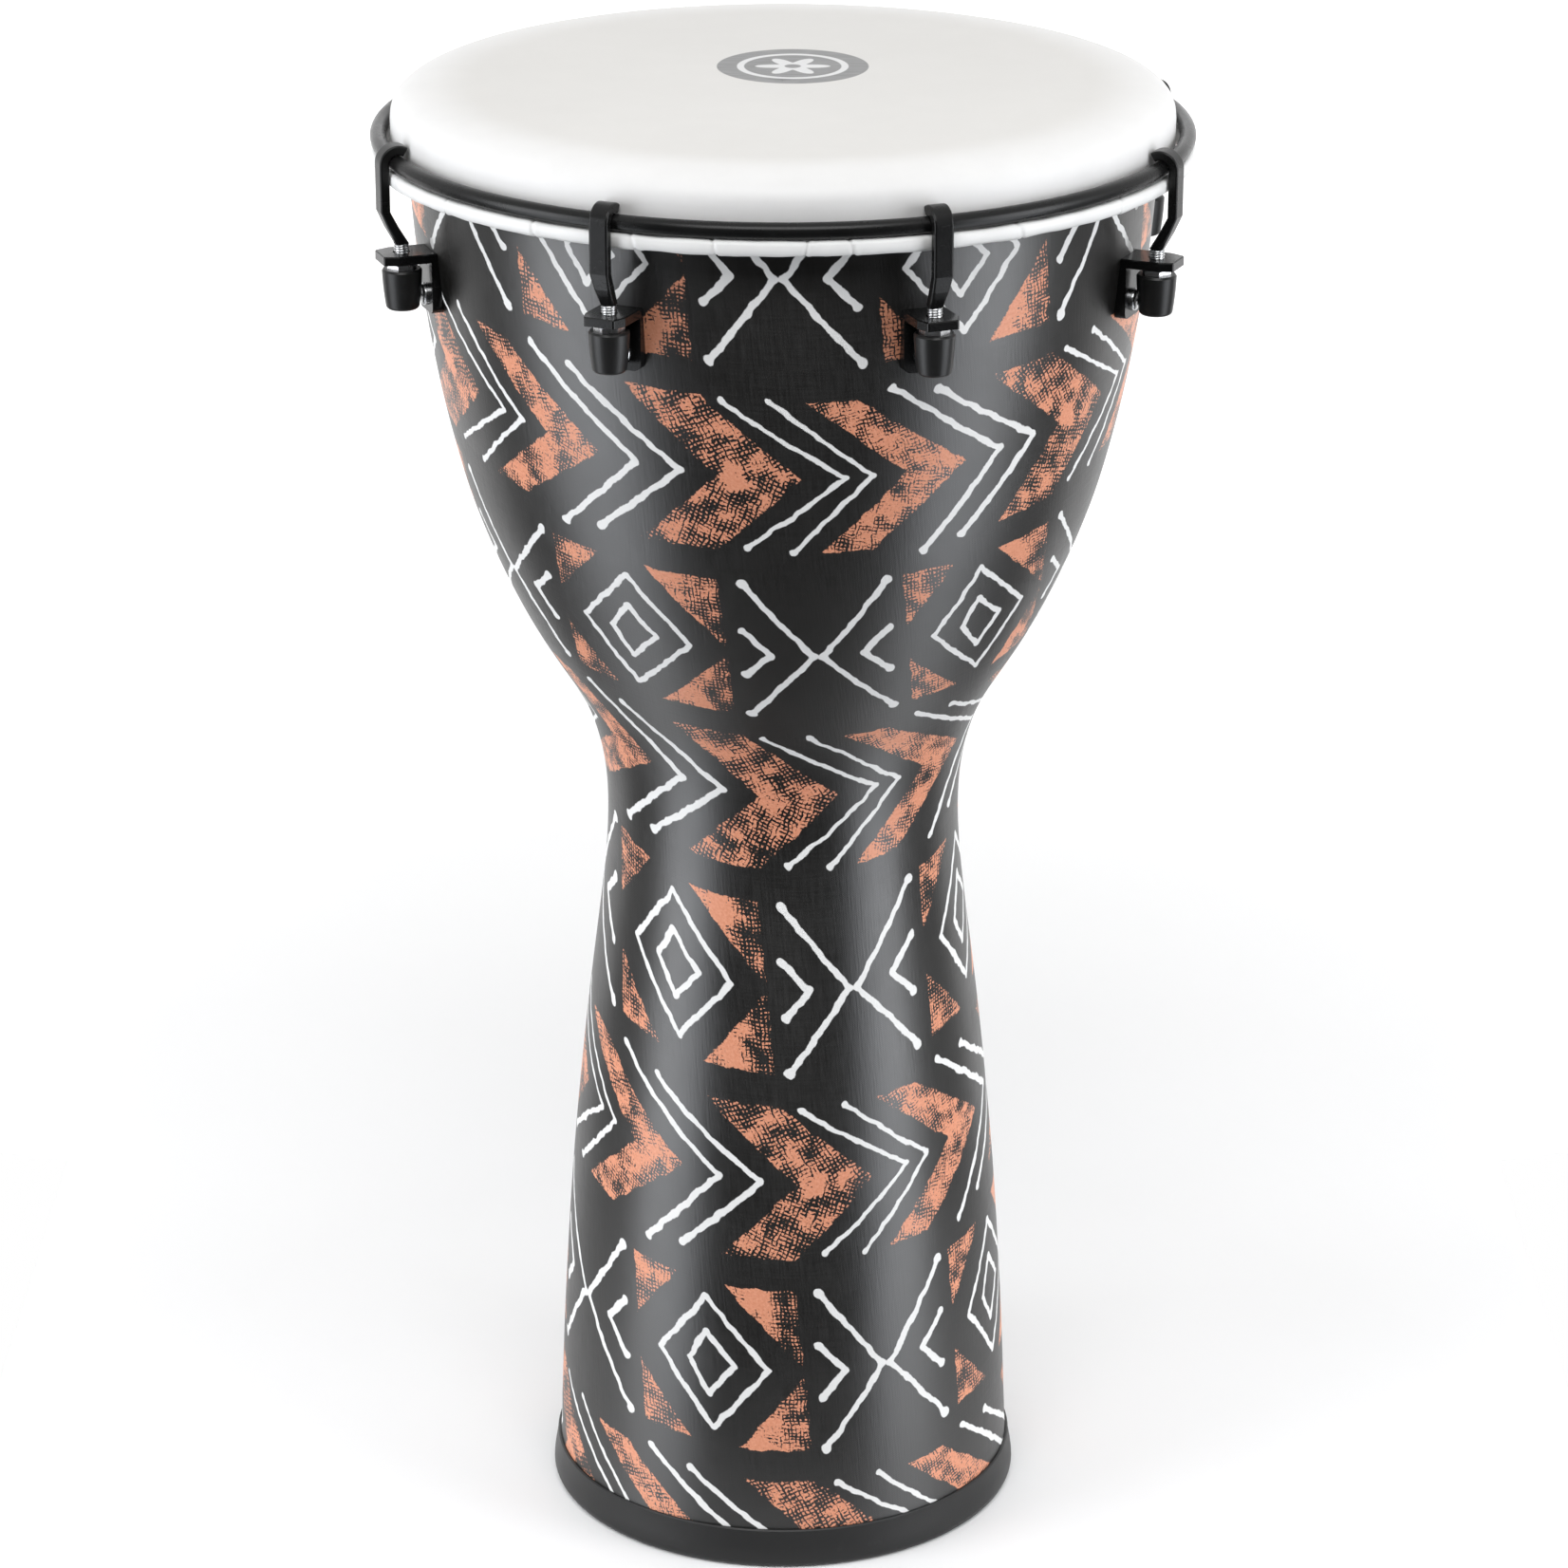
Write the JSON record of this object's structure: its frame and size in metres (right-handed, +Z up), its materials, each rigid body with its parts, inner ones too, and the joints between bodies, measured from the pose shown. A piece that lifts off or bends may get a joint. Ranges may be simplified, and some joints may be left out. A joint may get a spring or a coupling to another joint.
{
  "type": "djembe",
  "caption": "Goblet hand drum: moulded hollow shell wrapped in printed cloth, round film head, hook-and-nut tension ring and rubber foot.",
  "frame": {"origin": "centre of the foot's underside, on the floor", "axes": "+Z up along the drum's axis, -Y towards the player's front, +X to the right seen from the front"},
  "size_m": [0.3208, 0.3208, 0.6],
  "materials": {
    "shell_plastic": "moulded, slightly rough",
    "printed_cloth": "satin lacquered woven cloth with a printed pattern",
    "foot_rubber": "satin",
    "head_film": "fine coated film",
    "hoop_white": "satin",
    "black_steel": "satin black powder coat",
    "black_bracket": "semi-gloss black coat",
    "zinc_steel": "bright zinc plate",
    "chrome_nut": "chromed",
    "cap_plastic": "fine matt moulding"
  },
  "bodies": {
    "drum": {"shell_stem": "shell_plastic", "shell_bowl": "shell_plastic", "shell_collar": "shell_plastic", "fabric_wrap": "printed_cloth", "base_ring": "foot_rubber", "head_film": "head_film", "thrust_washers": "zinc_steel", "bracket_bolts": "zinc_steel", "bracket_washers": "zinc_steel", "bracket_nuts": "zinc_steel", "bracket_1": "black_bracket", "bracket_2": "black_bracket", "bracket_3": "black_bracket", "bracket_4": "black_bracket", "bracket_5": "black_bracket", "bracket_6": "black_bracket", "bracket_7": "black_bracket", "bracket_8": "black_bracket"},
    "tension_assembly": {"flesh_hoop": "hoop_white", "tension_ring": "black_steel", "tuning_rods": "zinc_steel", "hook_1": "black_steel", "hook_2": "black_steel", "hook_3": "black_steel", "hook_4": "black_steel", "hook_5": "black_steel", "hook_6": "black_steel", "hook_7": "black_steel", "hook_8": "black_steel"},
    "nut_1": {"hex_nut_1": "chrome_nut", "nut_cap_1": "cap_plastic"},
    "nut_2": {"hex_nut_2": "chrome_nut", "nut_cap_2": "cap_plastic"},
    "nut_3": {"hex_nut_3": "chrome_nut", "nut_cap_3": "cap_plastic"},
    "nut_4": {"hex_nut_4": "chrome_nut", "nut_cap_4": "cap_plastic"},
    "nut_5": {"hex_nut_5": "chrome_nut", "nut_cap_5": "cap_plastic"},
    "nut_6": {"hex_nut_6": "chrome_nut", "nut_cap_6": "cap_plastic"},
    "nut_7": {"hex_nut_7": "chrome_nut", "nut_cap_7": "cap_plastic"},
    "nut_8": {"hex_nut_8": "chrome_nut", "nut_cap_8": "cap_plastic"}
  },
  "joints": [
    {"name": "tension_slide", "type": "slide", "parent": "drum", "child": "tension_assembly", "axis": [0, 0, -1], "range_m": [-0.004, 0.003]},
    {"name": "nut_1_turn", "type": "hinge", "parent": "drum", "child": "nut_1", "pos_m": [-0.06374, -0.14216, 0.5362], "axis": [0, 0, 1], "range_deg": [-1440, 1080]},
    {"name": "nut_2_turn", "type": "hinge", "parent": "drum", "child": "nut_2", "pos_m": [0.05545, -0.1456, 0.5362], "axis": [0, 0, 1], "range_deg": [-1440, 1080]},
    {"name": "nut_3_turn", "type": "hinge", "parent": "drum", "child": "nut_3", "pos_m": [0.14216, -0.06374, 0.5362], "axis": [0, 0, 1], "range_deg": [-1440, 1080]},
    {"name": "nut_4_turn", "type": "hinge", "parent": "drum", "child": "nut_4", "pos_m": [0.1456, 0.05545, 0.5362], "axis": [0, 0, 1], "range_deg": [-1440, 1080]},
    {"name": "nut_5_turn", "type": "hinge", "parent": "drum", "child": "nut_5", "pos_m": [0.06374, 0.14216, 0.5362], "axis": [0, 0, 1], "range_deg": [-1440, 1080]},
    {"name": "nut_6_turn", "type": "hinge", "parent": "drum", "child": "nut_6", "pos_m": [-0.05545, 0.1456, 0.5362], "axis": [0, 0, 1], "range_deg": [-1440, 1080]},
    {"name": "nut_7_turn", "type": "hinge", "parent": "drum", "child": "nut_7", "pos_m": [-0.14216, 0.06374, 0.5362], "axis": [0, 0, 1], "range_deg": [-1440, 1080]},
    {"name": "nut_8_turn", "type": "hinge", "parent": "drum", "child": "nut_8", "pos_m": [-0.1456, -0.05545, 0.5362], "axis": [0, 0, 1], "range_deg": [-1440, 1080]}
  ],
  "couplings": [
    {"joint": "nut_1_turn", "follows": "tension_slide", "rad_per_m": 6283.2},
    {"joint": "nut_2_turn", "follows": "tension_slide", "rad_per_m": 6283.2},
    {"joint": "nut_3_turn", "follows": "tension_slide", "rad_per_m": 6283.2},
    {"joint": "nut_4_turn", "follows": "tension_slide", "rad_per_m": 6283.2},
    {"joint": "nut_5_turn", "follows": "tension_slide", "rad_per_m": 6283.2},
    {"joint": "nut_6_turn", "follows": "tension_slide", "rad_per_m": 6283.2},
    {"joint": "nut_7_turn", "follows": "tension_slide", "rad_per_m": 6283.2},
    {"joint": "nut_8_turn", "follows": "tension_slide", "rad_per_m": 6283.2}
  ]
}
